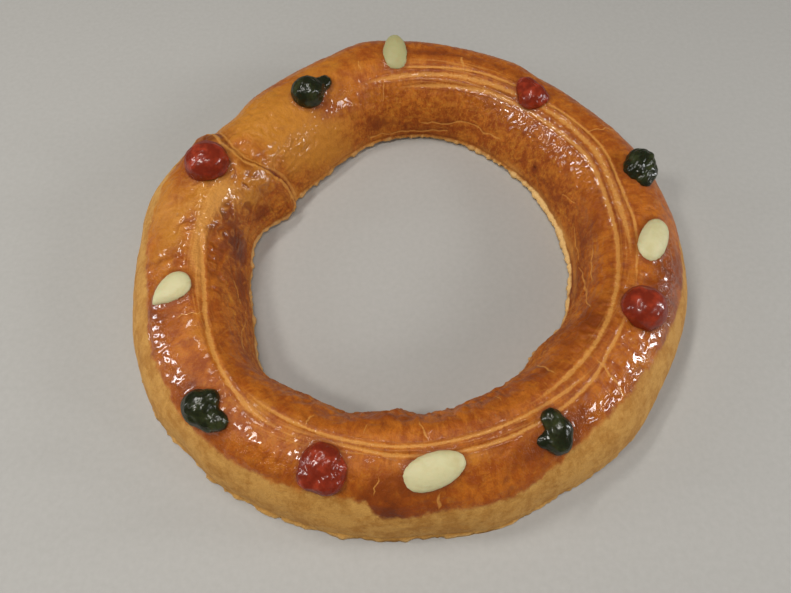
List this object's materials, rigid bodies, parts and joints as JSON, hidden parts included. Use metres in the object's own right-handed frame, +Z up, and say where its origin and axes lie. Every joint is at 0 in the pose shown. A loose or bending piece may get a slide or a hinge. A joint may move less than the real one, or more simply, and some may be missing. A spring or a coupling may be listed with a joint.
{
  "type": "christmas wreath pastry",
  "caption": "Baked ring of filled pastry dough, glazed golden brown, set on its crest with candied red and green cherries and blanched almond halves in turn.",
  "frame": {"origin": "on the ground under the middle of the whole wreath's box, inside the hole", "axes": "+Z up, along the wreath's own height; +X and +Y level, with the seam of the roll towards -X +Y"},
  "size_m": [0.255, 0.257, 0.0479],
  "materials": {
    "crust": "baked dough under a thin sugar glaze",
    "red_cherry": "wet candied fruit",
    "green_cherry": "wet candied fruit",
    "almond": "dry blanched nut"
  },
  "bodies": {
    "root": {"pastry_ring": "crust", "red_cherry_1": "red_cherry", "red_cherry_2": "red_cherry", "red_cherry_3": "red_cherry", "red_cherry_4": "red_cherry", "green_cherry_1": "green_cherry", "green_cherry_2": "green_cherry", "green_cherry_3": "green_cherry", "green_cherry_4": "green_cherry", "almond_1": "almond", "almond_2": "almond", "almond_3": "almond", "almond_4": "almond"}
  },
  "joints": []
}
